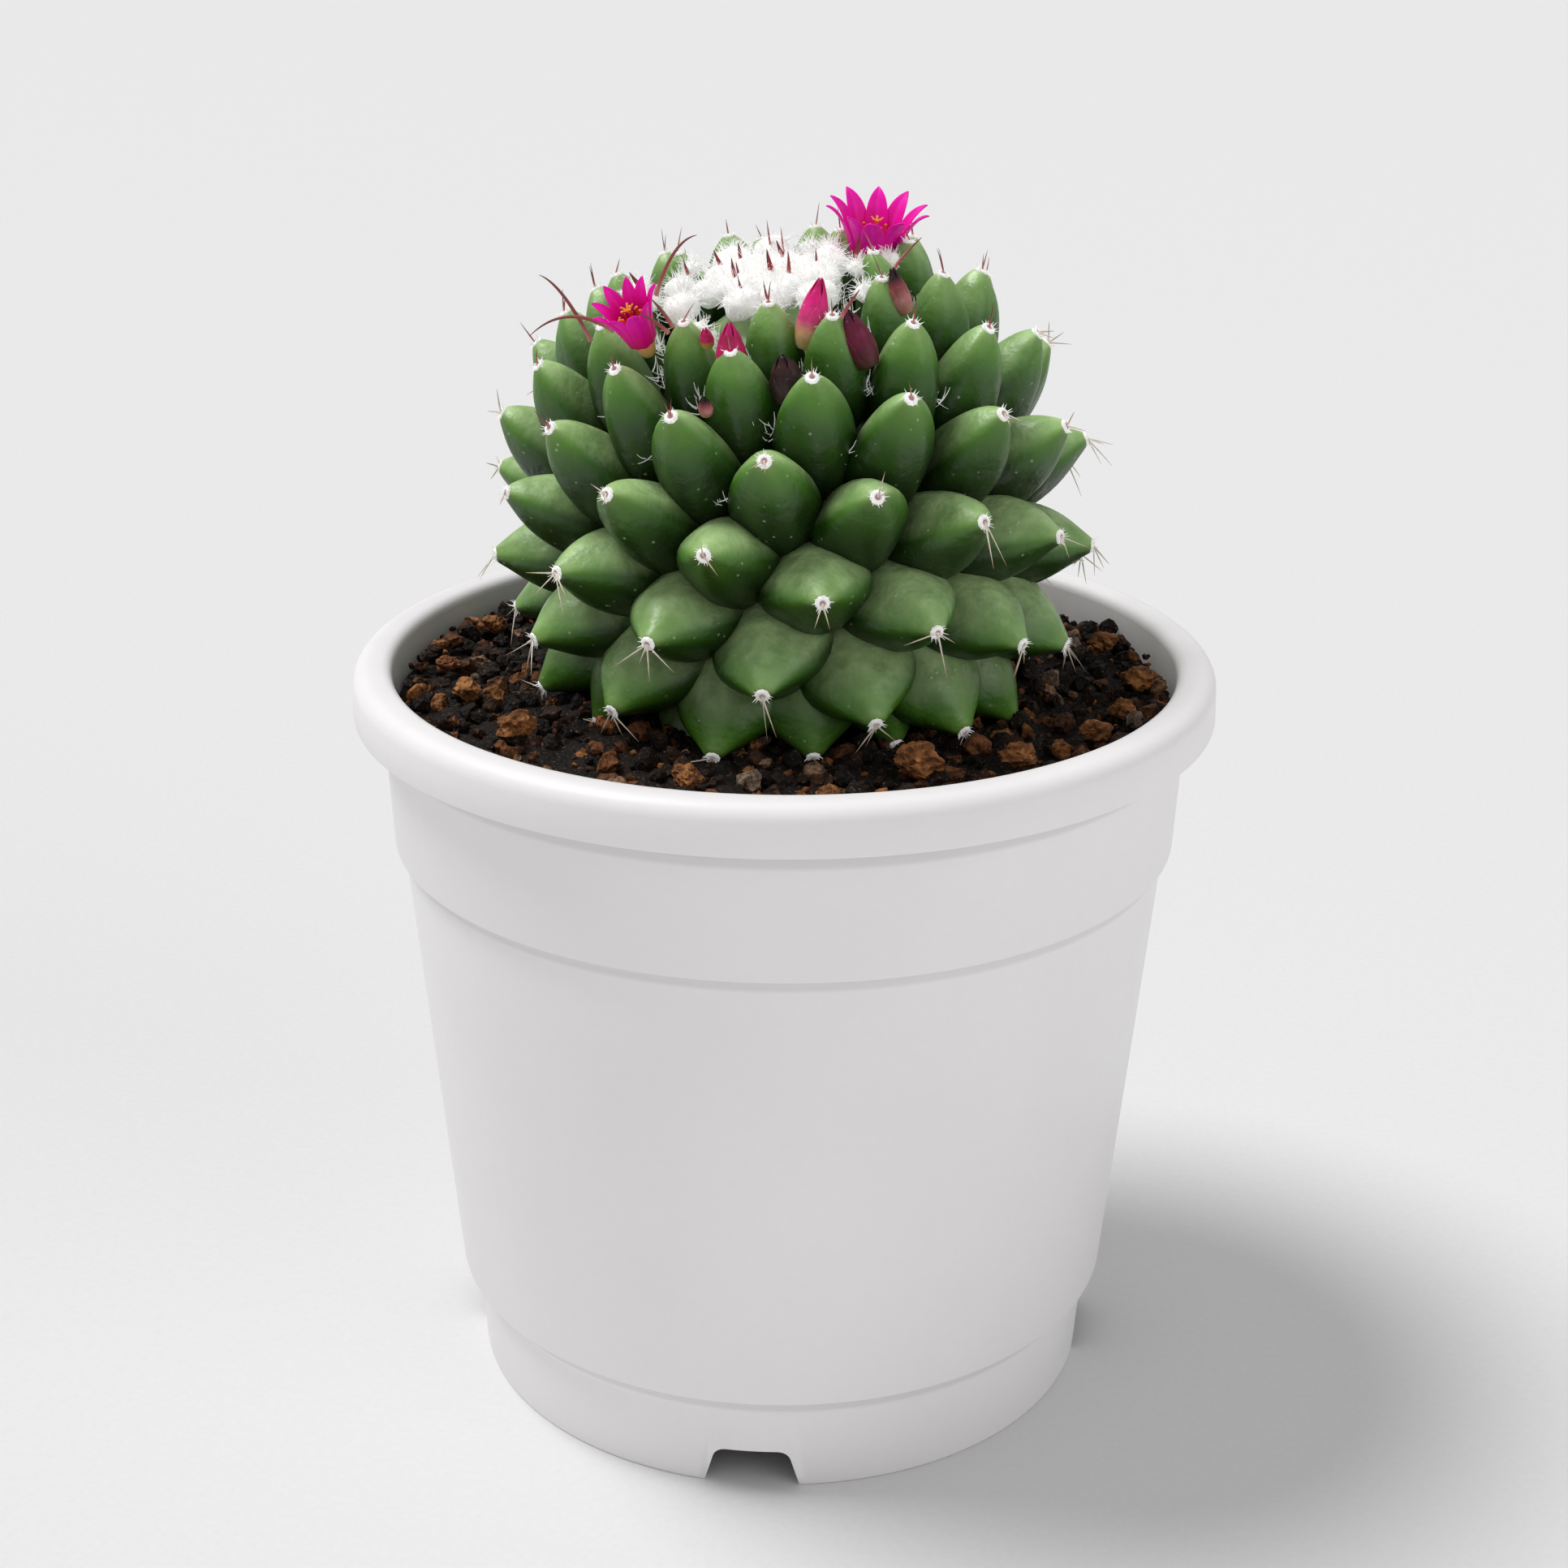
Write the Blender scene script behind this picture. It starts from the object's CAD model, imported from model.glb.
import math
import random

import bmesh
import bpy
import numpy as np
from mathutils import Matrix, Quaternion, Vector, noise


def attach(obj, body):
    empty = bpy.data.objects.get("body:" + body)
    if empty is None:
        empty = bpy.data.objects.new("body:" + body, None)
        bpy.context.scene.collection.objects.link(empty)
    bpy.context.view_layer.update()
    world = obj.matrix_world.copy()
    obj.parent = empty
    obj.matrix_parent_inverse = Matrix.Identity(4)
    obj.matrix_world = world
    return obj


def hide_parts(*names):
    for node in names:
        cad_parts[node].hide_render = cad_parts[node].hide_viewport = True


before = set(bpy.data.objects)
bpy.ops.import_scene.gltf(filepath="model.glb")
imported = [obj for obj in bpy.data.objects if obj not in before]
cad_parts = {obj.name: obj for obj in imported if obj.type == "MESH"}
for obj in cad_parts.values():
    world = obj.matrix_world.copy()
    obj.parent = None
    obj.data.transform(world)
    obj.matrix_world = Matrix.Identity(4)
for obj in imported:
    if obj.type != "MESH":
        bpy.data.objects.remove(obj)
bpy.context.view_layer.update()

# Everything is modelled in millimetres and brought down to metres when a piece is done.
metre = 0.001


def polar(azimuth, radius, height):
    turn = math.radians(azimuth)
    return Vector((radius * math.sin(turn), -radius * math.cos(turn), height))


def leaned(degrees, axis):
    return Matrix.Rotation(math.radians(degrees), 4, axis)


def linear(red, green, blue):
    # screen colour, 0 to 255, to the shader's own scale
    parts = [c / 255 for c in (red, green, blue)]
    return tuple(c / 12.92 if c < 0.04045 else ((c + 0.055) / 1.055) ** 2.4 for c in parts) + (1.0,)


# small helpers for working by hand

def only(obj):
    if bpy.context.mode != "OBJECT":
        bpy.ops.object.mode_set(mode="OBJECT")
    bpy.ops.object.select_all(action="DESELECT")
    if obj:
        obj.select_set(True)
        bpy.context.view_layer.objects.active = obj


def openMesh(obj, kind="VERT"):
    only(obj)
    bpy.ops.object.mode_set(mode="EDIT")
    bpy.ops.mesh.select_mode(type=kind)
    bpy.ops.mesh.select_all(action="SELECT")


def closeMesh():
    bpy.ops.object.mode_set(mode="OBJECT")


def closeOutward():
    bpy.ops.mesh.select_all(action="SELECT")
    bpy.ops.mesh.normals_make_consistent(inside=False)
    closeMesh()


def added(name):
    obj = bpy.context.active_object
    obj.name = name
    obj.data.name = name
    return obj


def pick(obj, test, kind="VERT"):
    # selects the open mesh's points, or its edges, whose middle passes the test
    bpy.ops.mesh.select_mode(type=kind)
    bpy.ops.mesh.select_all(action="DESELECT")
    shell = bmesh.from_edit_mesh(obj.data)
    if kind == "VERT":
        for point in shell.verts:
            point.select_set(test(point.co))
    else:
        for edge in shell.edges:
            edge.select_set(test((edge.verts[0].co + edge.verts[1].co) / 2))
    bmesh.update_edit_mesh(obj.data)


def applied(obj, kind, **settings):
    modifier = obj.modifiers.new(kind.lower(), kind)
    for key, value in settings.items():
        setattr(modifier, key, value)
    only(obj)
    bpy.ops.object.modifier_apply(modifier=modifier.name)
    return obj


def smooth(obj, angle=30):
    only(obj)
    bpy.ops.object.shade_smooth_by_angle(angle=math.radians(angle))
    return obj


def twin(obj, matrix):
    # a copy with its own mesh, moved by the matrix
    copy = obj.copy()
    copy.data = obj.data.copy()
    copy.data.transform(matrix)
    bpy.context.scene.collection.objects.link(copy)
    return copy


def joined(objects, name):
    only(objects[0])
    for obj in objects:
        obj.select_set(True)
    bpy.ops.object.join()
    return added(name)


def discard(*objects):
    for obj in objects:
        bpy.data.objects.remove(obj)


def drawnProfile(name, points, corners=()):
    # a chain of points (radius, height), with some corners rounded off
    bpy.ops.mesh.primitive_plane_add(size=1)
    obj = added(name)
    openMesh(obj)
    bpy.ops.mesh.merge(type="CENTER")
    bpy.ops.transform.translate(value=(points[0][0], 0, points[0][1]))
    for last, here in zip(points, points[1:]):
        step = (here[0] - last[0], 0, here[1] - last[1])
        bpy.ops.mesh.extrude_region_move(TRANSFORM_OT_translate={"value": step})
    for corner, size, segments in corners:
        spot = Vector((corner[0], 0, corner[1]))
        pick(obj, lambda co: (co - spot).length < 0.01)
        bpy.ops.mesh.bevel(offset=size, offset_type="OFFSET", segments=segments, affect="VERTICES")
    return obj


def spun(name, points, steps, corners=()):
    obj = drawnProfile(name, points, corners)
    bpy.ops.mesh.select_all(action="SELECT")
    bpy.ops.mesh.spin(steps=steps, angle=math.tau, center=(0, 0, 0), axis=(0, 0, 1))
    bpy.ops.mesh.select_all(action="SELECT")
    bpy.ops.mesh.remove_doubles(threshold=0.001)
    closeOutward()
    return obj


def finished(obj, slotName, material, *nodes):
    obj.data.transform(Matrix.Scale(metre, 4))
    obj.data.materials.clear()
    obj.data.materials.append(material)
    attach(obj, "root")
    if nodes:
        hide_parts(*nodes)
    return obj


def marked(obj, name, value):
    # writes one number for each point, the same for all or worked out from its place
    points = obj.data.vertices
    values = [value(point.co) for point in points] if callable(value) else [value] * len(points)
    layer = obj.data.attributes.get(name) or obj.data.attributes.new(name, "FLOAT", "POINT")
    layer.data.foreach_set("value", values)
    return obj


def scattered(chance, amount):
    # a random arrow, with the same spread along each axis
    return Vector([chance.gauss(0, amount) for axis in range(3)])


def pointedAlong(arrow):
    return arrow.to_track_quat("Z", "Y").to_matrix().to_4x4()


def within(value):
    return min(1, max(0, value))


# helpers for materials

def newFinish(name, **sockets):
    material = bpy.data.materials.new(name)
    material.use_nodes = True
    shader = material.node_tree.nodes["Principled BSDF"]
    for key, value in sockets.items():
        shader.inputs[key.replace("_", " ")].default_value = value
    return material


def node(material, kind, sockets=None, **settings):
    made = material.node_tree.nodes.new(kind)
    for key, value in settings.items():
        setattr(made, key, value)
    for key, value in (sockets or {}).items():
        if isinstance(value, bpy.types.NodeSocket):
            material.node_tree.links.new(value, made.inputs[key])
        else:
            made.inputs[key].default_value = value
    return made


def place(material):
    return node(material, "ShaderNodeTexCoord").outputs["Object"]


def cloud(material, scale, detail=4.0, roughness=0.5):
    sockets = {"Vector": place(material), "Scale": scale, "Detail": detail, "Roughness": roughness}
    return node(material, "ShaderNodeTexNoise", sockets).outputs[0]


def cells(material, scale):
    sockets = {"Vector": place(material), "Scale": scale}
    return node(material, "ShaderNodeTexVoronoi", sockets).outputs["Distance"]


def ramp(material, factor, *stops):
    made = node(material, "ShaderNodeValToRGB", {"Fac": factor})
    bar = made.color_ramp
    while len(bar.elements) < len(stops):
        bar.elements.new(1.0)
    for element, (position, colour) in zip(bar.elements, stops):
        element.position = position
        element.color = colour
    return made.outputs["Color"]


def blended(material, factor, first, second, way="MIX"):
    sockets = {0: factor, 6: first, 7: second}
    return node(material, "ShaderNodeMix", sockets, data_type="RGBA", blend_type=way).outputs[2]


def sums(material, way, *values, clamp=False):
    sockets = dict(enumerate(values))
    return node(material, "ShaderNodeMath", sockets, operation=way, use_clamp=clamp).outputs[0]


def spread(material, value, low, high, newLow=0.0, newHigh=1.0):
    sockets = {"Value": value, "From Min": low, "From Max": high, "To Min": newLow, "To Max": newHigh}
    return node(material, "ShaderNodeMapRange", sockets).outputs[0]


def wornBy(material, name):
    return node(material, "ShaderNodeAttribute", attribute_name=name).outputs["Fac"]


def onto(material, socket, value):
    shader = material.node_tree.nodes["Principled BSDF"]
    material.node_tree.links.new(value, shader.inputs[socket])


def roughened(material, pattern, low, high):
    onto(material, "Roughness", spread(material, pattern, 0.3, 0.7, low, high))


def stained(material, pattern, start, amount, base, colour):
    # the base colour, with another over it where the pattern is strong
    share = spread(material, pattern, start, 0.7, 0.0, amount)
    onto(material, "Base Color", blended(material, share, base, colour))


def bumped(material, *layers):
    # layers are (height, depth in metres), each laid on the one before
    normal = None
    for height, depth in layers:
        sockets = {"Height": height, "Distance": depth, "Strength": 1.0}
        if normal:
            sockets["Normal"] = normal
        normal = node(material, "ShaderNodeBump", sockets).outputs[0]
    onto(material, "Normal", normal)


# camera, light and floor

studio = {
    "cameraFrom": (0.03073, -0.35126, 0.2236),
    "cameraTurn": (68.84, 5.0, 0.34),
    "lens": 60.63,
    # lamp name: azimuth it shines from, degrees from overhead, angle, strength
    "lamps": {"keyLight": (-100, 27, 24, 2.16), "fillLight": (60, 68, 40, 0.42)},
    "skyStrength": 0.46,
    "floorSize": 6.0,
}


def makeStudio():
    scene = bpy.context.scene
    pitch, yaw, roll = (math.radians(a) for a in studio["cameraTurn"])
    turn = Matrix.Rotation(yaw, 4, "Z") @ Matrix.Rotation(pitch, 4, "X") @ Matrix.Rotation(roll, 4, "Z")
    bpy.ops.object.camera_add(location=studio["cameraFrom"], rotation=turn.to_euler())
    camera = bpy.context.active_object
    camera.data.lens = studio["lens"]
    camera.data.clip_start = 0.01
    scene.camera = camera
    scene.view_settings.view_transform = "Standard"

    for name, (azimuth, lean, wide, strength) in studio["lamps"].items():
        aim = leaned(azimuth, "Z") @ leaned(lean, "X")
        bpy.ops.object.light_add(type="SUN", location=aim @ Vector((0, 0, 1)), rotation=aim.to_euler())
        lamp = bpy.context.active_object
        lamp.name = name
        lamp.data.energy = strength
        lamp.data.angle = math.radians(wide)

    sky = bpy.data.worlds.new("softStudio")
    sky.use_nodes = True
    sky.node_tree.nodes["Background"].inputs["Strength"].default_value = studio["skyStrength"]
    sky.node_tree.nodes["Background"].inputs["Color"].default_value = (1.0, 1.0, 1.0, 1.0)
    scene.world = sky

    bpy.ops.mesh.primitive_plane_add(size=studio["floorSize"])
    floor = added("studioFloor")
    openMesh(floor)
    bpy.ops.mesh.subdivide(number_cuts=3)
    closeMesh()
    paper = newFinish("palePaper", Roughness=0.9, Specular_IOR_Level=0.1)
    grain = cloud(paper, 900.0)
    onto(paper, "Base Color", ramp(paper, grain, (0.3, linear(221, 221, 221)), (0.7, linear(224, 224, 224))))
    floor.data.materials.append(paper)
    print("studio ready")


makeStudio()


# the pot

pot = {
    "steps": 144,
    "profile": [
        (0, 7.2), (26, 7.2), (40, 7.2), (43, 7.2), (43.9, 7.2), (43.9, 0), (45.2, 0),
        (46, 13.7), (46.4, 14.35), (48.2, 15.1), (54.1, 80.9), (54.3, 81.5), (55.35, 81.9), (56.4, 103.1),
        (56.8, 105.1), (58.3, 105.1), (58.7, 100.6), (60.2, 100.6), (60.0, 107.3), (54.6, 107.3),
        (54.6, 101.3), (52.8, 80.9), (46.9, 15.1), (44.8, 8.8), (0, 8.8),
    ],
    "corners": [
        ((60.0, 107.3), 2.3, 6), ((54.6, 107.3), 1.5, 4), ((60.2, 100.6), 0.2, 2), ((58.7, 100.6), 0.3, 2),
        ((54.1, 80.9), 0.25, 2), ((55.35, 81.9), 0.2, 2), ((48.2, 15.1), 0.25, 2), ((46.0, 13.7), 0.2, 2),
        ((45.2, 0), 0.3, 2), ((43.9, 0), 0.3, 2), ((44.8, 8.8), 1.2, 3),
    ],
    "footWall": 44.6, "cutterDepth": 12, "cutterSunk": 4,
    "notchCount": 4, "notchTop": 10.1, "notchFoot": 15.6, "notchHeight": 5.7, "notchRound": 1.3,
    "drainCount": 8, "drainRadius": 3.6, "drainCircle": 33,
    # heights of the thin grey lines and how wide they are before and after they fade, in metres
    "dustLines": (0.0809, 0.0135, 0.0984), "dustWidth": (0.0005, 0.0011), "dustAmount": 0.28,
}


def makePlastic():
    plastic = newFinish("whitePlastic", Roughness=0.4, IOR=1.46, Specular_IOR_Level=0.42)
    wide = cloud(plastic, 34.0, 3.0)
    fine = cloud(plastic, 700.0, 3.0)
    tint = ramp(plastic, wide, (0.3, linear(241, 238, 239)), (0.7, linear(244, 242, 243)))
    spot = node(plastic, "ShaderNodeSeparateXYZ", {0: place(plastic)})
    reach = sums(plastic, "SQRT", sums(plastic, "ADD", sums(plastic, "POWER", spot.outputs[0], 2.0),
                                       sums(plastic, "POWER", spot.outputs[1], 2.0)))
    under = sums(plastic, "MULTIPLY", spread(plastic, spot.outputs[2], 0.0076, 0.0072),
                 spread(plastic, reach, 0.0447, 0.0440), clamp=True)
    seams = [sums(plastic, "ABSOLUTE", sums(plastic, "SUBTRACT", spot.outputs[2], height))
             for height in pot["dustLines"]]
    nearest = sums(plastic, "MINIMUM", sums(plastic, "MINIMUM", seams[0], seams[1]), seams[2])
    dust = spread(plastic, nearest, *pot["dustWidth"], pot["dustAmount"], 0.0)
    tint = blended(plastic, dust, tint, linear(176, 173, 174))
    clean = blended(plastic, spread(plastic, fine, 0.35, 0.75, 0.0, 0.12), tint, linear(232, 228, 229))
    onto(plastic, "Base Color", blended(plastic, under, clean, linear(96, 94, 92)))
    roughened(plastic, cloud(plastic, 210.0), 0.36, 0.46)
    bumped(plastic, (wide, 0.0002), (fine, 0.00002))
    return plastic


def makePot():
    shell = spun("potShell", pot["profile"], pot["steps"], pot["corners"])
    cutters = []
    for index in range(pot["notchCount"]):
        bpy.ops.mesh.primitive_cube_add(size=1)
        cutter = added("notchCutter")
        openMesh(cutter)
        tall = pot["notchHeight"] + pot["cutterSunk"]
        bpy.ops.transform.resize(value=(pot["notchFoot"], pot["cutterDepth"], tall))
        bpy.ops.transform.translate(value=(0, -pot["footWall"], tall / 2 - pot["cutterSunk"]))
        pick(cutter, lambda co: co.z > 0)
        narrow = pot["notchTop"] / pot["notchFoot"]
        bpy.ops.transform.resize(value=(narrow, 1, 1), center_override=(0, 0, 0))
        # the two upper edges that run through the wall
        pick(cutter, lambda co: co.z > 4 and abs(co.x) > 2 and abs(co.y + pot["footWall"]) < 1, "EDGE")
        bpy.ops.mesh.bevel(offset=pot["notchRound"], segments=4, affect="EDGES")
        closeMesh()
        cutter.data.transform(Matrix.Rotation(index * math.tau / pot["notchCount"], 4, "Z"))
        cutters.append(cutter)
    for index in range(pot["drainCount"]):
        spot = polar((index + 0.5) * 360 / pot["drainCount"], pot["drainCircle"], 8)
        bpy.ops.mesh.primitive_cylinder_add(vertices=32, radius=pot["drainRadius"], depth=8, location=spot)
        cutter = added("drainCutter")
        cutter.data.transform(cutter.matrix_world)
        cutter.matrix_world = Matrix.Identity(4)
        cutters.append(cutter)
    cutter = joined(cutters, "potCutters")
    applied(shell, "BOOLEAN", object=cutter, operation="DIFFERENCE", solver="EXACT")
    discard(cutter)
    applied(shell, "BEVEL", width=0.2, segments=2, limit_method="ANGLE", angle_limit=math.radians(50))
    smooth(shell, 28)
    finished(shell, "white_plastic", makePlastic(), "pot")
    print("pot ready", len(shell.data.polygons))


makePot()


# the plant

plant = {
    "centre": (0.75, 3.3, 126), "lean": 9.7, "leanTowards": -44.6,
    "first": -42, "last": 57, "divergence": -137.486, "startAzimuth": 10.4, "startLatitude": 6.5,
    "rise": 1.475, "slowing": 5.5e-5, "tipRadius": 41.4, "tipHeight": 36.2, "shoulder": 0.565,
    "length": 19.5, "crownShare": 0.42, "fullSizeRadius": 36,
    "core": [
        (0, -40), (6, -37), (11, -31), (15, -25), (19, -18), (22.5, -9), (23.5, 0), (22.5, 9), (18.5, 17),
        (14, 22.5), (9, 27), (5, 29.5), (0, 30.4),
    ],
    # share of the length, half width, half height, rise of the middle above the tip
    "beaked": [
        (0, 6.5, 6.1, -1.7), (0.35, 6.9, 6.0, -1.3), (0.54, 6.65, 5.5, -0.8), (0.68, 5.75, 4.65, -0.45),
        (0.79, 4.4, 3.6, -0.2), (0.875, 3.0, 2.5, -0.05), (0.945, 1.8, 1.6, 0), (1, 1.1, 1.0, 0),
    ],
    "rounded": [
        (0, 5.2, 5.1, -3.2), (0.3, 5.5, 5.15, -2.7), (0.5, 5.35, 4.85, -2.15), (0.66, 4.75, 4.3, -1.65),
        (0.79, 3.9, 3.55, -1.15), (0.885, 2.95, 2.65, -0.65), (0.95, 2.0, 1.75, -0.25), (1, 1.1, 0.95, 0),
    ],
    "keel": 1.15, "shoulderRidge": 1.09, "sideRidge": 1.13, "lowWidth": 0.1, "moulds": 7,
    # latitudes over which tubercles turn from beaked to rounded, and down which they broaden
    "roundedOver": (1, 30), "broadOver": 25,
    # tips a little under this height are raised to it, so that they lie on the soil
    "restingHeight": 102.6, "mostRaised": 8,
}


def plantToPot():
    axis = Vector((0, 0, 1)).cross(polar(plant["leanTowards"], 1, 0))
    turn = leaned(plant["lean"], axis)
    return Matrix.Translation(plant["centre"]) @ turn


standing = plantToPot()


def azimuthOf(index):
    return plant["startAzimuth"] + plant["divergence"] * index


def tipOf(index):
    # a tubercle's tip, which way it points, its size and latitude, on the plant's own axis
    azimuth = azimuthOf(index)
    latitude = math.radians(plant["startLatitude"] + plant["rise"] * index - plant["slowing"] * index ** 3)
    radius = plant["tipRadius"] * math.cos(latitude) ** plant["shoulder"]
    height = plant["tipHeight"] * math.sin(latitude)
    outward = polar(azimuth, math.cos(latitude), math.sin(latitude))
    size = plant["crownShare"] + (1 - plant["crownShare"]) * min(1, radius / plant["fullSizeRadius"])
    tip = polar(azimuth, radius, height)
    short = plant["restingHeight"] - (standing @ tip).z
    if 0 < short < plant["mostRaised"]:
        tip.z += short
    return tip, outward, size, math.degrees(latitude)


def seated(tip, outward, size=1.0, roll=0.0):
    # a frame with Z along outward and Y up the plant
    side = Vector((0, 0, 1)).cross(outward).normalized()
    up = outward.cross(side)
    turn = Matrix((side, up, outward)).transposed().to_4x4()
    return Matrix.Translation(tip) @ turn @ Matrix.Rotation(roll, 4, "Z") @ Matrix.Scale(size, 4)


def makeTubercle(name, rings):
    bpy.ops.mesh.primitive_circle_add(vertices=16, radius=1, fill_type="NGON")
    obj = added(name)
    openMesh(obj)
    pick(obj, lambda co: co.y < -0.8)
    bpy.ops.transform.resize(value=(1, plant["keel"], 1), center_override=(0, 0, 0))
    pick(obj, lambda co: co.y > 0.8)
    bpy.ops.transform.resize(value=(1, plant["shoulderRidge"], 1), center_override=(0, 0, 0))
    pick(obj, lambda co: abs(co.x) > 0.9)
    bpy.ops.transform.resize(value=(plant["sideRidge"], 1, 1), center_override=(0, 0, 0))
    bpy.ops.mesh.select_all(action="SELECT")
    share, width, height, rise = rings[0]
    bpy.ops.transform.resize(value=(width, height, 1), center_override=(0, 0, 0))
    bpy.ops.transform.translate(value=(0, rise, (share - 1) * plant["length"]))
    bpy.ops.mesh.select_mode(type="FACE")
    bpy.ops.mesh.select_all(action="SELECT")
    for last, here in zip(rings, rings[1:]):
        step = (0, here[3] - last[3], (here[0] - last[0]) * plant["length"])
        bpy.ops.mesh.extrude_region_move(TRANSFORM_OT_translate={"value": step})
        middle = (0, here[3], (here[0] - 1) * plant["length"])
        bpy.ops.transform.resize(value=(here[1] / last[1], here[2] / last[2], 1), center_override=middle)
    bpy.ops.mesh.inset(thickness=0.35)
    bpy.ops.transform.translate(value=(0, 0, 0.12))
    bpy.ops.mesh.poke()
    closeOutward()
    return applied(obj, "SUBSURF", levels=1, render_levels=1)


def makeSkin():
    skin = newFinish("cactusSkin", Roughness=0.4, IOR=1.45, Specular_IOR_Level=0.6)
    depth = wornBy(skin, "rise")
    blotch = cloud(skin, 130.0, 4.0)
    grain = cloud(skin, 1500.0, 3.0)
    base = ramp(skin, depth, (0.0, linear(8, 12, 1)), (0.3, linear(14, 32, 2)), (0.5, linear(32, 66, 6)),
                (0.7, linear(58, 106, 18)), (0.92, linear(90, 142, 40)), (1.0, linear(118, 156, 72)))
    mottled = blended(skin, spread(skin, blotch, 0.35, 0.7, 0.0, 0.4), base, linear(44, 90, 12))
    normal = node(skin, "ShaderNodeNewGeometry").outputs["Normal"]
    facing = node(skin, "ShaderNodeSeparateXYZ", {0: normal}).outputs[2]
    under = spread(skin, facing, 0.15, -0.6, 0.0, 0.8)
    shaded = blended(skin, under, mottled, linear(14, 32, 4))
    upward = sums(skin, "POWER", spread(skin, facing, 0.1, 0.9), 1.25)
    haze = sums(skin, "MULTIPLY", upward, spread(skin, cloud(skin, 320.0, 5.0, 0.6), 0.3, 0.65, 0.5, 1.0))
    powdery = blended(skin, sums(skin, "MULTIPLY", haze, 0.86), shaded, linear(192, 224, 156))
    fleck = spread(skin, cells(skin, 560.0), 0.0, 0.15, 1.0, 0.0)
    lone = spread(skin, cloud(skin, 300.0, 1.0), 0.5, 0.58)
    speck = sums(skin, "MULTIPLY", fleck, lone, clamp=True)
    pale = sums(skin, "MULTIPLY", speck, 0.7)
    onto(skin, "Base Color", blended(skin, pale, powdery, linear(196, 210, 178)))
    roughened(skin, blotch, 0.33, 0.46)
    bumped(skin, (blotch, 0.0011), (grain, 0.00004), (speck, 0.00008))
    return skin


def between(first, second, share):
    # ring tables part way from one shape to the other
    return [tuple(p + (q - p) * share for p, q in zip(low, high)) for low, high in zip(first, second)]


def united(parts):
    # joins solids two by two, so that each step stays small
    while len(parts) > 1:
        kept = parts[::2]
        for whole, other in zip(kept, parts[1::2]):
            applied(whole, "BOOLEAN", object=other, operation="UNION", solver="MANIFOLD")
            discard(other)
        parts = kept
    return parts[0]


def makeStem():
    steps = plant["moulds"] - 1
    firstLatitude, latitudeSpan = plant["roundedOver"]
    shapes = [between(plant["beaked"], plant["rounded"], k / steps) for k in range(plant["moulds"])]
    moulds = [makeTubercle("tubercle", rings) for rings in shapes]
    bloom = random.Random(5)
    parts = []
    for index in range(plant["first"], plant["last"] + 1):
        tip, outward, size, latitude = tipOf(index)
        share = within((latitude - firstLatitude) / latitudeSpan)
        broad = 1 + plant["lowWidth"] * within(-latitude / plant["broadOver"])
        wide = Matrix.Diagonal((broad * bloom.uniform(0.97, 1.04), bloom.uniform(0.97, 1.04), 1, 1))
        turned = seated(tip, outward, size, math.radians(bloom.uniform(-7, 7))) @ wide
        parts.append(twin(moulds[round(share * steps)], turned))
    body = united([spun("cactusStem", plant["core"], 48)] + parts)
    body.name = "cactusStem"
    discard(*moulds)
    # rise is 1 at a tubercle's tip and falls to 0 deep between them
    indexes = range(plant["first"], plant["last"] + 1)
    tips = np.array([tipOf(index)[0] for index in indexes])
    ways = np.array([tipOf(index)[1] for index in indexes])
    depth = 14
    batch = 4000
    points = np.empty(len(body.data.vertices) * 3, np.float32)
    body.data.vertices.foreach_get("co", points)
    points = points.reshape(-1, 3)
    rise = np.empty(len(points), np.float32)
    for start in range(0, len(points), batch):
        gap = points[start:start + batch, None, :] - tips[None]
        nearest = (gap ** 2).sum(2).argmin(1)
        rows = np.arange(len(nearest))
        rise[start:start + batch] = 1 + (gap[rows, nearest] * ways[nearest]).sum(1) / depth
    body.data.attributes.new("rise", "FLOAT", "POINT").data.foreach_set("value", rise)
    body.data.transform(standing)
    smooth(body, 40)
    finished(body, "cactus_skin", makeSkin(), "cactus_stem")
    print("stem ready", len(body.data.polygons))


makeStem()

# soil, crumbs and stones

soil = {
    "wall": [(0, 9.1), (44.6, 9.1), (46.7, 15.3), (52.6, 80.9), (54.3, 100.6)],
    "height": 101.2, "middleRise": 1.6, "ringGap": 1.1, "steps": 150, "lump": 1.1,
    "crumbShapes": 7, "crumbs": 2350, "inside": 19, "outside": 54.1, "smallest": 0.45, "largest": 2.1,
    "bankedWidth": 2, "bankedHeight": 2.2, "stoneHeight": 102.4,
}

# azimuth, radius and size of each large stone
stones = [
    (30, 40.5, 3.2), (-52, 42.4, 2.7), (-75, 44.6, 2.2), (-90, 48.2, 1.7), (-112, 48.6, 2), (-12, 42.6, 2.2),
    (48, 44.4, 2.3), (66, 47.4, 2.2), (78, 48.2, 2), (93, 49.6, 2.4), (113, 49, 2.1), (12, 46.6, 1.8),
    (158, 49.6, 1.9), (-155, 48.8, 2.3),
]


def soilLevel(x, y):
    spot = Vector((x, y, 0))
    lumps = noise.noise(spot * 0.28) * 0.9 + noise.noise(spot * 0.75) * 0.45
    edge = soil["wall"][-1][0]
    return soil["height"] + soil["middleRise"] * (1 - spot.length / edge) + lumps * soil["lump"]


def roughRock(name, subdivisions, seed, jag=0.34, pit=0.0):
    bpy.ops.mesh.primitive_ico_sphere_add(subdivisions=subdivisions, radius=1)
    obj = added(name)
    shift = Vector((seed * 3.7, seed * 1.3, seed * 2.1))
    for point in obj.data.vertices:
        way = point.co.normalized()
        swell = noise.noise(way * 1.3 + shift) * jag + noise.noise(way * 3.1 + shift) * jag * 0.5
        swell += noise.noise(way * 7 + shift) * pit - abs(noise.noise(way * 12 + shift)) * pit
        point.co = way * (1 + swell)
    return obj


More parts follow.
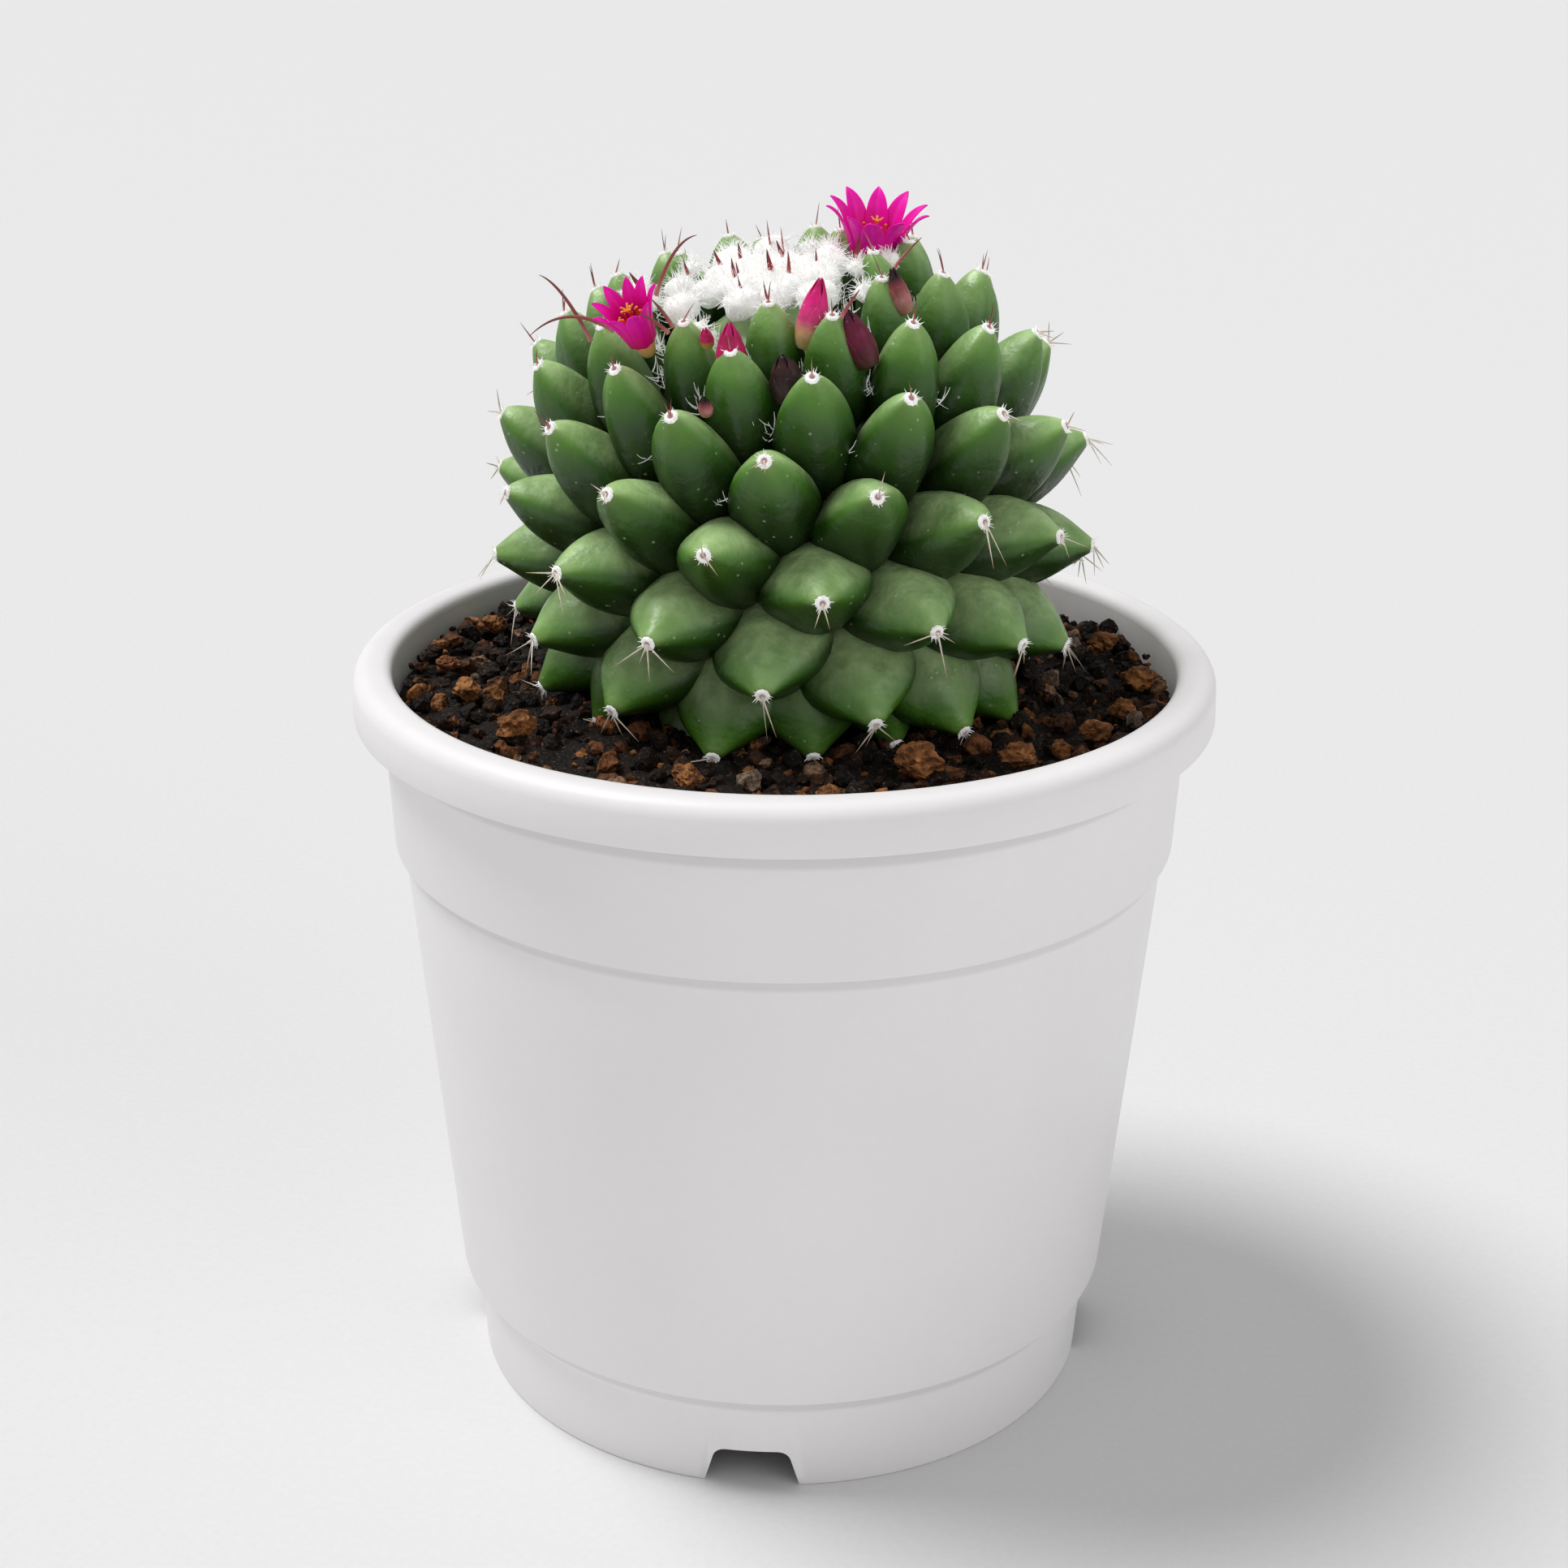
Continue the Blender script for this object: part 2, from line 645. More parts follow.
def makeSoilFinish():
    earth = newFinish("pottingSoil", Roughness=0.85, Specular_IOR_Level=0.25)
    tint = wornBy(earth, "tint")
    grain = cloud(earth, 900.0, 5.0, 0.65)
    base = ramp(earth, tint, (0.0, linear(16, 10, 7)), (0.35, linear(38, 23, 15)), (0.6, linear(84, 50, 30)),
                (0.8, linear(150, 90, 48)), (0.93, linear(206, 134, 72)), (1.0, linear(160, 140, 122)))
    worn = blended(earth, spread(earth, grain, 0.35, 0.7), linear(16, 10, 7), base)
    glint = spread(earth, cloud(earth, 2600.0), 0.62, 0.72)
    onto(earth, "Base Color", blended(earth, glint, worn, linear(130, 100, 76)))
    roughened(earth, grain, 0.95, 0.55)
    bumped(earth, (grain, 0.0005), (cells(earth, 1500.0), 0.0003))
    return earth


def makeSoil():
    rings = int((soil["outside"] - 0.6) / soil["ringGap"])
    top = [(soil["outside"] - k * soil["ringGap"], soil["height"]) for k in range(rings)]
    bed = spun("pottingSoil", soil["wall"] + top + [(0, soil["height"])], soil["steps"])
    for point in bed.data.vertices:
        if point.co.z > soil["height"] - 0.3:
            point.co.z = soilLevel(point.co.x, point.co.y)
    marked(bed, "tint", lambda co: 0.12 + 0.2 * noise.noise(co * 0.4))
    smooth(bed, 60)
    earth = makeSoilFinish()
    finished(bed, "potting_soil", earth, "potting_soil")

    chance = random.Random(11)
    shapes = [roughRock("crumbShape", 2, k, 0.5) for k in range(soil["crumbShapes"])]
    crumbs = []
    for index in range(soil["crumbs"]):
        size = soil["smallest"] + (soil["largest"] - soil["smallest"]) * chance.random() ** 2.6
        byWall = index % 5 == 0
        reach = soil["outside"] - 0.8 * size
        if byWall:
            radius = reach - chance.random() * soil["bankedWidth"]
        else:
            radius = math.sqrt(chance.uniform(soil["inside"] ** 2, reach ** 2))
        spot = polar(chance.uniform(0, 360), radius, 0)
        level = soilLevel(spot.x, spot.y)
        spot.z = level + size * chance.uniform(-0.1, 0.55)
        if byWall:
            spot.z += chance.random() ** 2 * soil["bankedHeight"]
        turn = Quaternion(scattered(chance, 1).normalized(), chance.uniform(0, 6)).to_matrix().to_4x4()
        flat = Matrix.Diagonal((size, size * chance.uniform(0.6, 1), size * chance.uniform(0.5, 0.9), 1))
        crumb = twin(chance.choice(shapes), Matrix.Translation(spot) @ turn @ flat)
        crumbs.append(marked(crumb, "tint", chance.random() ** 1.1))
    discard(*shapes)
    pile = joined(crumbs, "soilCrumbs")
    smooth(pile, 42)
    finished(pile, "potting_soil", earth)

    grit = newFinish("pumiceGrit", Roughness=0.8, Specular_IOR_Level=0.3)
    grain = cloud(grit, 500.0, 5.0, 0.6)
    body = ramp(grit, grain, (0.25, linear(50, 28, 14)), (0.45, linear(112, 68, 34)),
                (0.62, linear(164, 106, 56)), (0.8, linear(214, 160, 104)))
    pits = spread(grit, cells(grit, 1100.0), 0.0, 0.35, 0.75, 0.0)
    onto(grit, "Base Color", blended(grit, pits, body, linear(46, 24, 12)))
    roughened(grit, grain, 0.9, 0.6)
    bumped(grit, (grain, 0.0006), (cells(grit, 1100.0), 0.0004))
    for index, (azimuth, radius, size) in enumerate(stones):
        stone = roughRock(f"gritStone{index + 1:02d}", 4, index + 20, 0.42, 0.16)
        spot = polar(azimuth, radius, soil["stoneHeight"] + 0.66 * size)
        stone.data.transform(Matrix.Translation(spot) @ Matrix.Rotation(index, 4, "Z")
                             @ Matrix.Diagonal((size, size * 0.8, size * 0.66, 1)))
        smooth(stone, 50)
        finished(stone, "pumice_grit", grit, f"grit_stone_{index + 1:02d}")
    print("soil ready", len(pile.data.polygons))


makeSoil()


# woolly pads with their spines

pad = {
    "rings": [(1.25, -0.35), (1.38, 0.15), (1.12, 0.5), (0.72, 0.62), (0.42, 0.42)],
    "sides": 9, "hairs": 12, "hairLength": 1.1, "spineRadius": 0.125, "size": 0.66,
    "lowest": 101.5,
}


def makeTaper(name, sides, sections, radius, bow, blunt=0.12):
    # a thin pointed shape of length 1 up the Z axis, bowed towards +Y
    bpy.ops.mesh.primitive_circle_add(vertices=sides, radius=radius, fill_type="NGON")
    obj = added(name)
    openMesh(obj, "FACE")
    wide = 1.0
    for k in range(1, sections + 1):
        share = k / sections
        sag = bow * (share * share - ((k - 1) / sections) ** 2)
        narrow = 1 - (1 - blunt) * share ** 1.5
        bpy.ops.mesh.extrude_region_move(TRANSFORM_OT_translate={"value": (0, sag, 1 / sections)})
        middle = (0, bow * share * share, share)
        bpy.ops.transform.resize(value=(narrow / wide, narrow / wide, 1), center_override=middle)
        wide = narrow
    closeOutward()
    return marked(obj, "along", lambda co: co.z)


def makePad():
    bpy.ops.mesh.primitive_circle_add(vertices=pad["sides"], radius=pad["rings"][0][0], fill_type="NGON")
    obj = added("woolPad")
    openMesh(obj, "FACE")
    bpy.ops.transform.translate(value=(0, 0, pad["rings"][0][1]))
    for last, here in zip(pad["rings"], pad["rings"][1:]):
        bpy.ops.mesh.extrude_region_move(TRANSFORM_OT_translate={"value": (0, 0, here[1] - last[1])})
        bpy.ops.transform.resize(value=(here[0] / last[0],) * 2 + (1,), center_override=(0, 0, here[1]))
    closeOutward()
    marked(obj, "tint", lambda co: 1.0 if co.xy.length < 0.5 else 0.0)
    hair = makeTaper("padHair", 3, 2, 0.13, 0.25)
    marked(hair, "tint", 0.0)
    chance = random.Random(3)
    parts = [obj]
    for k in range(pad["hairs"]):
        turn = Matrix.Rotation(k * math.tau / pad["hairs"] + chance.uniform(-0.2, 0.2), 4, "Z")
        lean = leaned(chance.uniform(35, 85), "X")
        size = Matrix.Diagonal((1, 1, pad["hairLength"] * chance.uniform(0.7, 1.3), 1))
        parts.append(twin(hair, turn @ Matrix.Translation((0, -0.85, 0.3)) @ lean @ size))
    discard(hair)
    return smooth(joined(parts, "woolPad"), 60)


def spinesAt(latitude, chance):
    # (turn round the pad from the side, lift off the skin, length, redness) for each spine of one pad
    if latitude < 14:
        turns = chance.sample([-150, -118, -92, -66, -35, 178], chance.choice((2, 3, 3, 4)))
        return [(turn + chance.uniform(-10, 10), chance.uniform(8, 38), chance.uniform(2.6, 6.6), 0.03)
                for turn in turns]
    if latitude < 40:
        turns = chance.sample([-140, -95, -40, 20, 75, 150], chance.choice((2, 2, 3)))
        return [(turn + chance.uniform(-12, 12), chance.uniform(20, 55), chance.uniform(1.9, 3.6),
                 chance.uniform(0.05, 0.4)) for turn in turns]
    return [(chance.uniform(40, 140), chance.uniform(45, 75), chance.uniform(2.0, 3.6),
             chance.uniform(0.7, 1)) for k in range(chance.choice((1, 1, 2)))]


def makeSpineFinish():
    horn = newFinish("spineHorn", Roughness=0.45, IOR=1.5)
    young = wornBy(horn, "ripe")
    along = wornBy(horn, "along")
    pale = ramp(horn, along, (0.0, linear(240, 232, 218)), (0.6, linear(232, 220, 200)),
                (1.0, linear(196, 150, 108)))
    red = ramp(horn, along, (0.0, linear(196, 122, 118)), (0.25, linear(158, 40, 52)),
               (1.0, linear(92, 18, 26)))
    grain = cloud(horn, 1800.0)
    mixed = blended(horn, young, pale, red)
    stained(horn, grain, 0.4, 0.25, mixed, linear(120, 84, 62))
    roughened(horn, grain, 0.35, 0.6)
    bumped(horn, (grain, 0.00004))
    return horn


def makeWoolFinish():
    wool = newFinish("cactusWool", Roughness=0.9, Specular_IOR_Level=0.15, Sheen_Weight=0.25,
                     Sheen_Roughness=0.5, Emission_Color=(1.0, 1.0, 1.0, 1.0), Emission_Strength=0.14)
    fluff = cloud(wool, 1400.0, 5.0, 0.7)
    base = ramp(wool, fluff, (0.3, linear(246, 244, 240)), (0.6, linear(254, 254, 253)))
    onto(wool, "Base Color", blended(wool, wornBy(wool, "tint"), base, linear(150, 84, 76)))
    roughened(wool, fluff, 0.8, 1.0)
    bumped(wool, (fluff, 0.0002))
    return wool


def makePads(wool, horn):
    chance = random.Random(21)
    mould = makePad()
    straight = makeTaper("spineShape", 5, 4, pad["spineRadius"], 0.0)
    bowed = makeTaper("spineShape", 5, 4, pad["spineRadius"], 0.18)
    pads = []
    spines = []
    for index in range(plant["first"], plant["last"] + 1):
        tip, outward, size, latitude = tipOf(index)
        seat = standing @ seated(tip, outward)
        if seat.translation.z < pad["lowest"]:
            continue
        share = pad["size"] * (0.8 + 0.3 * within((size - 0.4) / 0.6))
        roll = Matrix.Rotation(chance.uniform(0, 6), 4, "Z")
        pads.append(twin(mould, seat @ Matrix.Translation((0, 0, -0.05)) @ roll @ Matrix.Scale(share, 4)))
        for turn, lift, length, ripe in spinesAt(latitude, chance):
            aim = leaned(turn - 90, "Z") @ leaned(lift - 90, "X")
            thick = chance.uniform(0.8, 1.15)
            stretch = Matrix.Diagonal((thick, thick, length, 1))
            shape = chance.choice((straight, bowed))
            spine = twin(shape, seat @ Matrix.Translation((0, 0, 0.3)) @ aim @ stretch)
            spines.append(marked(spine, "ripe", ripe))
    discard(mould, straight, bowed)
    finished(smooth(joined(pads, "woolPads"), 60), "cactus_wool", wool)
    finished(smooth(joined(spines, "padSpines"), 60), "spine", horn)
    print("pads ready", len(pads), len(spines))


wool = makeWoolFinish()
horn = makeSpineFinish()
makePads(wool, horn)


# white wool on the crown

crown = {
    "first": 46, "last": 92, "puffRadius": 2.6, "tipPuffRadius": 2.05, "puffInset": 3.0, "puffInward": 2.9,
    "strands": 6500, "strandLength": 1.6, "redSpines": 15, "firstRedSpine": 53,
    # the spiral of the inner puffs and of the red spines: first radius, steps in which it falls, height
    "puffSpiral": (14, 13.7, 33.6), "thornSpiral": (16, 17, 35.2),
    # tufts between tubercles: first index, strands at least and more, latitudes over which they grow
    "tuftFirst": 6, "tuftStrands": (6, 26), "tuftOver": (14, 34), "tuftSeat": (6.4, -9.5),
}


def makeCrown(wool, horn):
    chance = random.Random(8)
    puffs = []
    centres = []
    moulds = [marked(roughRock("puffShape", 3, k, 0.2, 0.06), "tint", 0.0) for k in range(4)]
    for index in range(crown["first"], crown["last"] + 1):
        if index <= plant["last"]:
            tip, outward, size, latitude = tipOf(index)
            radius = crown["tipPuffRadius"] * size
            inward = polar(azimuthOf(index), -crown["puffInward"] * size, 0)
            centre = tip - outward * crown["puffInset"] * size + inward
        else:
            widest, fall, height = crown["puffSpiral"]
            reach = widest * math.exp(-(index - plant["last"] - 1) / fall)
            centre = polar(azimuthOf(index), reach, height + 0.5 * math.sin(index))
            radius = crown["puffRadius"] * chance.uniform(0.8, 1.1)
        centres.append((centre, radius))
        shape = Matrix.Translation(centre) @ Matrix.Diagonal((radius, radius, radius * 0.85, 1))
        puffs.append(twin(chance.choice(moulds), shape))
    strand = marked(makeTaper("strandShape", 3, 3, 0.045, 0.35, 0.4), "tint", 0.0)
    for k in range(crown["strands"]):
        centre, radius = chance.choice(centres)
        way = scattered(chance, 1).normalized()
        way.z = abs(way.z) * 1.1 - 0.15
        way.normalize()
        aim = pointedAlong(way + scattered(chance, 0.45))
        length = crown["strandLength"] * chance.uniform(0.5, 1.2)
        roll = Matrix.Rotation(chance.uniform(0, 6.3), 4, "Z")
        puffs.append(twin(strand, Matrix.Translation(centre + way * radius * 0.8) @ aim @ roll
                          @ Matrix.Diagonal((1, length, length, 1))))
    for index in range(crown["tuftFirst"], plant["last"] + 1):
        tip, outward, size, latitude = tipOf(index)
        seat = seated(tip, outward, size)
        fewest, more = crown["tuftStrands"]
        lowest, span = crown["tuftOver"]
        up, sunk = crown["tuftSeat"]
        for k in range(int(fewest + more * within((latitude - lowest) / span))):
            spot = (chance.gauss(0, 0.9), up + chance.gauss(0, 0.5), sunk + chance.gauss(0, 0.8))
            aim = pointedAlong(outward + scattered(chance, 0.55))
            length = chance.uniform(1.2, 2.6)
            shape = Matrix.Diagonal((1.3, length, length, 1))
            puffs.append(twin(strand, Matrix.Translation(seat @ Vector(spot)) @ aim @ shape))
    fluff = joined(puffs, "crownWool")
    fluff.data.transform(standing)
    finished(smooth(fluff, 60), "cactus_wool", wool, "crown_wool")

    thorn = makeTaper("thornShape", 5, 4, 0.15, 0.1)
    thorns = []
    for k in range(crown["redSpines"]):
        widest, fall, height = crown["thornSpiral"]
        root = polar(azimuthOf(crown["firstRedSpine"] + 2 * k), widest * math.exp(-2 * k / fall), height)
        aim = pointedAlong(Vector((root.x, root.y, 40)) + scattered(chance, 7))
        length = chance.uniform(2.0, 3.6)
        shape = Matrix.Diagonal((1, length, length, 1))
        spine = twin(thorn, standing @ Matrix.Translation(root) @ aim @ shape)
        thorns.append(marked(spine, "ripe", 1.0))
    discard(strand, thorn, *moulds)
    finished(smooth(joined(thorns, "crownSpines"), 60), "spine", horn)
    print("crown ready", len(fluff.data.polygons))


makeCrown(wool, horn)


# flowers

# foot is azimuth, radius and height on the plant, tilt is degrees and azimuth, tube is length and
# radius, low is how far the petals start below the tube's mouth, lip and tips are radius and height
flowers = {
    "right": {
        "foot": (133, 18.3, 28.8), "tilt": (13, 66), "tube": (4.6, 2.5), "count": 10,
        "halfWidth": 1.75, "low": 4.4, "lip": (4.7, 5), "tips": (7.3, 6),
    },
    "left": {
        "foot": (-36, 22.6, 30.8), "tilt": (24, -28), "tube": (4.6, 1.8), "count": 9,
        "halfWidth": 1.25, "low": 2.2, "lip": (3.2, 3.8), "tips": (4.6, 5),
    },
}


def grownAt(foot, tilt):
    # stands a flower or bud on the plant, leaning by tilt degrees towards an azimuth
    lean, towards = tilt
    axis = polar(towards, math.sin(math.radians(lean)), math.cos(math.radians(lean)))
    turn = Vector((0, 0, 1)).rotation_difference(axis).to_matrix().to_4x4()
    return standing @ Matrix.Translation(polar(*foot)) @ turn


def makePetalFinish():
    petal = newFinish("magentaPetal", Roughness=0.42, IOR=1.4, Specular_IOR_Level=0.25)
    along = wornBy(petal, "along")
    across = wornBy(petal, "across")
    base = ramp(petal, along, (0.0, linear(190, 6, 84)), (0.35, linear(228, 0, 142)),
                (0.7, linear(248, 6, 178)), (1.0, linear(252, 20, 190)))
    veins = cloud(petal, 900.0, 2.0)
    streak = sums(petal, "MULTIPLY", spread(petal, across, 0.0, 0.3, 0.3, 0.0),
                  spread(petal, along, 0.2, 0.8), clamp=True)
    mixed = blended(petal, streak, base, linear(255, 80, 206))
    stained(petal, veins, 0.4, 0.3, mixed, linear(210, 0, 130))
    roughened(petal, veins, 0.36, 0.52)
    bumped(petal, (veins, 0.00008))
    return petal


def makeTubeFinish():
    flesh = newFinish("flowerTube", Roughness=0.45, IOR=1.42)
    along = wornBy(flesh, "along")
    base = ramp(flesh, along, (0.0, linear(150, 156, 84)), (0.4, linear(222, 160, 104)),
                (0.75, linear(226, 104, 104)), (1.0, linear(216, 34, 110)))
    grain = cloud(flesh, 900.0)
    stained(flesh, grain, 0.4, 0.3, base, linear(190, 110, 80))
    roughened(flesh, grain, 0.4, 0.55)
    bumped(flesh, (grain, 0.0001))
    return flesh


def makeStamenFinish():
    pollen = newFinish("pollen", Roughness=0.7)
    tint = wornBy(pollen, "tint")
    base = ramp(pollen, tint, (0.0, linear(196, 30, 60)), (0.4, linear(228, 96, 44)),
                (1.0, linear(248, 206, 70)))
    grain = cloud(pollen, 2500.0)
    stained(pollen, grain, 0.4, 0.4, base, linear(214, 130, 40))
    roughened(pollen, grain, 0.6, 0.85)
    bumped(pollen, (grain, 0.0001))
    return pollen


def makePetal(name, halfWidth, start, lip, tips, inner):
    # a pointed blade that climbs out of the throat and flares over the lip
    bpy.ops.mesh.primitive_grid_add(x_subdivisions=8, y_subdivisions=14, size=2)
    obj = added(name)
    for point in obj.data.vertices:
        side, share = point.co.x, (point.co.y + 1) / 2
        out = (1 - share) ** 2 * start + 2 * share * (1 - share) * lip[0] + share ** 2 * tips[0]
        up = 2 * share * (1 - share) * lip[1] + share ** 2 * tips[1]
        width = halfWidth * (0.74 + 0.75 * share) * (1 - share ** 2.2)
        width = max(width, 0.03)
        fold = (side * side) * (0.55 - 0.4 * share) * width * 0.7 - math.exp(-(side * 4) ** 2) * 0.1
        point.co = Vector((side * width, -(out * inner - fold), up + fold * 0.25))
    # the grid has nine points to a row, with its middle line at the fifth
    across = obj.data.attributes.new("across", "FLOAT", "POINT")
    across.data.foreach_set("value", [abs(k % 9 - 4) / 4 for k in range(len(obj.data.vertices))])
    marked(obj, "along", lambda co: within(co.z / tips[1]))
    applied(obj, "SOLIDIFY", thickness=0.22, offset=0.0)
    openMesh(obj)
    closeOutward()
    applied(obj, "SUBSURF", levels=1, render_levels=1)
    return smooth(obj, 60)


def makeFlower(name, bloom, petalFinish, tubeFinish, stamenFinish):
    stand = grownAt(bloom["foot"], bloom["tilt"])
    length, radius = bloom["tube"]
    outline = [
        (0, 0), (0.55 * radius, 0), (0.72 * radius, 0.35 * length), (0.86 * radius, 0.7 * length),
        (0.98 * radius, length), (0.75 * radius, length + 0.1), (0, length + 0.1),
    ]
    tube = spun(f"{name}FlowerTube", outline, 24)
    for point in tube.data.vertices:
        turn = math.atan2(point.co.x, point.co.y)
        ridge = 1 + 0.06 * math.cos(7 * turn + point.co.z)
        point.co.x *= ridge
        point.co.y *= ridge
    marked(tube, "along", lambda co: co.z / length)
    applied(tube, "SUBSURF", levels=1, render_levels=1)
    tube.data.transform(stand)
    finished(smooth(tube, 60), "flower_tube", tubeFinish, f"{name}_flower_tube")

    top = stand @ Matrix.Translation((0, 0, length - bloom["low"]))
    lip = (bloom["lip"][0] * 0.86, bloom["lip"][1] + bloom["low"])
    tips = (bloom["tips"][0], bloom["tips"][1] + bloom["low"])
    chance = random.Random(len(name))
    angle = math.tau / bloom["count"]
    for k in range(bloom["count"]):
        inner = 1.0 if k % 2 else 0.94
        petal = makePetal(f"{name}Petal{k + 1:02d}", bloom["halfWidth"] * chance.uniform(0.92, 1.08),
                          radius * 0.95, lip, tips, inner)
        turn = angle * k + math.pi
        sway = leaned(chance.uniform(-5, 5), "Z")
        petal.data.transform(top @ Matrix.Rotation(turn, 4, "Z") @ sway)
        finished(petal, "petal_magenta", petalFinish, f"{name}_flower_petal_{k + 1:02d}")

    lipHeight = 0.84 * lip[1]
    stamens = 24
    lobes = 5
    parts = []
    stem = makeTaper("stamenStem", 4, 2, 0.09, 0.2, 0.6)
    bpy.ops.mesh.primitive_ico_sphere_add(subdivisions=1, radius=0.22)
    head = added("anther")
    for k in range(stamens):
        turn = Matrix.Rotation(k * 2.4, 4, "Z") @ Matrix.Translation((0, 0.1 + 0.014 * k * radius, 0))
        lean = turn @ leaned(-3 - 0.2 * k * radius, "X")
        reach = lipHeight * (0.95 - 0.012 * k)
        parts.append(marked(twin(stem, lean @ Matrix.Diagonal((1, reach, reach, 1))), "tint", 0.2))
        anther = twin(head, lean @ Matrix.Translation((0, 0.2 * reach, reach)))
        parts.append(marked(anther, "tint", 0.6 + 0.4 * chance.random()))
    for k in range(lobes):
        lean = Matrix.Rotation(k * math.tau / lobes, 4, "Z") @ leaned(-24, "X")
        lobe = Matrix.Translation((0, 0, lipHeight * 0.98)) @ lean @ Matrix.Diagonal((2.2, 2.2, 1.1, 1))
        parts.append(marked(twin(stem, lobe), "tint", 0.8))
    pistil = twin(stem, Matrix.Diagonal((2.4, 0.2, lipHeight, 1)))
    parts.append(marked(pistil, "tint", 0.1))
    discard(stem, head)
    cluster = joined(parts, f"{name}FlowerStamens")
    cluster.data.transform(top)
    finished(smooth(cluster, 60), "stamens", stamenFinish, f"{name}_flower_stamens")


petalFinish = makePetalFinish()
tubeFinish = makeTubeFinish()
stamenFinish = makeStamenFinish()
for name, bloom in flowers.items():
    makeFlower(name, bloom, petalFinish, tubeFinish, stamenFinish)
print("flowers ready")


# buds and dried flowers

# piece: CAD node, foot, tilt, length, radius, look, inset
buds = {
    "openingBud": ("opening_bud", (19, 22.4, 30.6), (19, 114), 9.2, 1.6, "fresh", 3.6),
    "roundBud": ("round_bud", (-5, 25.2, 29.4), (7, 59), 7.0, 1.5, "deep", 1.15),
    "fadingFlower": ("fading_flower", (33, 27.6, 28.2), (16, -107), 7.8, 1.5, "faded", 3.0),
    "driedFlower1": ("dried_flower_1", (11, 27.8, 26), (8, -36), 6.4, 1.9, "dry", 2.4),
    "driedFlower2": ("dried_flower_2", (60, 22.4, 30.8), (12, -114), 6.2, 0.95, "withered", 1.0),
    "smallBud1": ("small_bud_1", (-13, 22.8, 32.4), (10, 0), 2.6, 0.6, "deep", 1.5),
    "smallBud2": ("small_bud_2", (-10, 30.6, 26.2), (14, 5), 2.6, 0.6, "withered", 1.5),
}

# the way in which inset moves a bud, on the plant's own axes before its tilt is applied
budShift = (-0.089, 0.977, -0.199)

# share of the bud's height, colour
budColours = {
    "fresh": [
        (0.0, (196, 190, 120)), (0.25, (228, 170, 130)), (0.42, (236, 70, 140)), (0.7, (232, 20, 128)),
        (1.0, (206, 12, 104)),
    ],
    "deep": [
        (0.0, (170, 160, 80)), (0.3, (176, 130, 60)), (0.42, (196, 16, 96)), (0.75, (186, 8, 88)),
        (1.0, (214, 14, 116)),
    ],
    "faded": [
        (0.0, (70, 40, 30)), (0.3, (96, 16, 46)), (0.6, (112, 12, 56)), (0.85, (84, 10, 44)),
        (1.0, (50, 10, 26)),
    ],
    "dry": [
        (0.0, (58, 44, 30)), (0.3, (48, 22, 20)), (0.6, (38, 14, 16)), (0.85, (60, 22, 24)),
        (1.0, (30, 14, 14)),
    ],
    "withered": [
        (0.0, (150, 110, 90)), (0.3, (196, 130, 130)), (0.6, (150, 70, 76)), (0.8, (50, 20, 22)),
        (1.0, (24, 12, 12)),
    ],
}


def makeBudFinish(name):
    skin = newFinish(name + "Bud", Roughness=0.38 if name in ("fresh", "deep") else 0.7, IOR=1.42)
    stops = [(position, linear(*colour)) for position, colour in budColours[name]]
    base = ramp(skin, wornBy(skin, "along"), *stops)
    streak = cloud(skin, 700.0, 3.0)
    darker = blended(skin, 1.0, base, (0.55, 0.5, 0.5, 1.0), "MULTIPLY")
    stained(skin, streak, 0.42, 0.6, base, darker)
    roughened(skin, streak, 0.34, 0.6)
    bumped(skin, (streak, 0.0002))
    return skin


def makeBud(piece, cadNode, foot, tilt, length, radius, look, inset, finish):
    outline = [
        (0, 0), (0.55 * radius, 0), (0.8 * radius, 0.2 * length), (0.9 * radius, 0.45 * length),
        (0.62 * radius, 0.72 * length), (0.2 * radius, 0.94 * length), (0, 0.98 * length),
    ]
    leaves = [spun(piece, outline, 16)]
    dry = look in ("faded", "dry", "withered")
    # how many leaves, where they start and end on the bud, how wide they stand
    layers = [(5, 0.0, 0.62, 1.06), (5, 0.16, 0.84, 1.0), (4, 0.3, 1.0, 0.94)]
    for layer, (count, low, high, swell) in enumerate(layers):
        for k in range(count):
            bpy.ops.mesh.primitive_grid_add(x_subdivisions=6, y_subdivisions=9, size=2)
            leaf = added("tepal")
            for point in leaf.data.vertices:
                side, share = point.co.x, (point.co.y + 1) / 2
                rise = low + (high - low) * share
                girth = radius * swell * math.sin(math.pi * (0.2 + 0.8 * rise ** 0.9)) ** 0.8
                girth = max(girth, 0.05)
                wide = 0.95 * math.sin(math.pi * (0.3 + 0.69 * share)) ** 0.7
                turn = (k + layer * 0.4) * math.tau / count + side * wide + rise * 0.7
                puff = girth * (1.02 + 0.1 * math.cos(side * 1.4)) + 0.1
                if dry:
                    puff *= 1 + 0.14 * noise.noise(Vector((turn * 3, rise * 5, k + layer * 7)))
                point.co = Vector((math.sin(turn) * puff, math.cos(turn) * puff, rise * length))
            leaves.append(applied(leaf, "SOLIDIFY", thickness=0.14, offset=-1.0))
    for leaf in leaves:
        marked(leaf, "along", lambda co: within(co.z / length))
    bud = joined(leaves, piece)
    openMesh(bud)
    closeOutward()
    applied(bud, "SUBSURF", levels=1, render_levels=1)
    bud.data.transform(Matrix.Translation(Vector(budShift) * inset) @ grownAt(foot, tilt))
    slotName = "dried_flower" if dry else "bud_skin"
    finished(smooth(bud, 60), slotName, finish, cadNode)


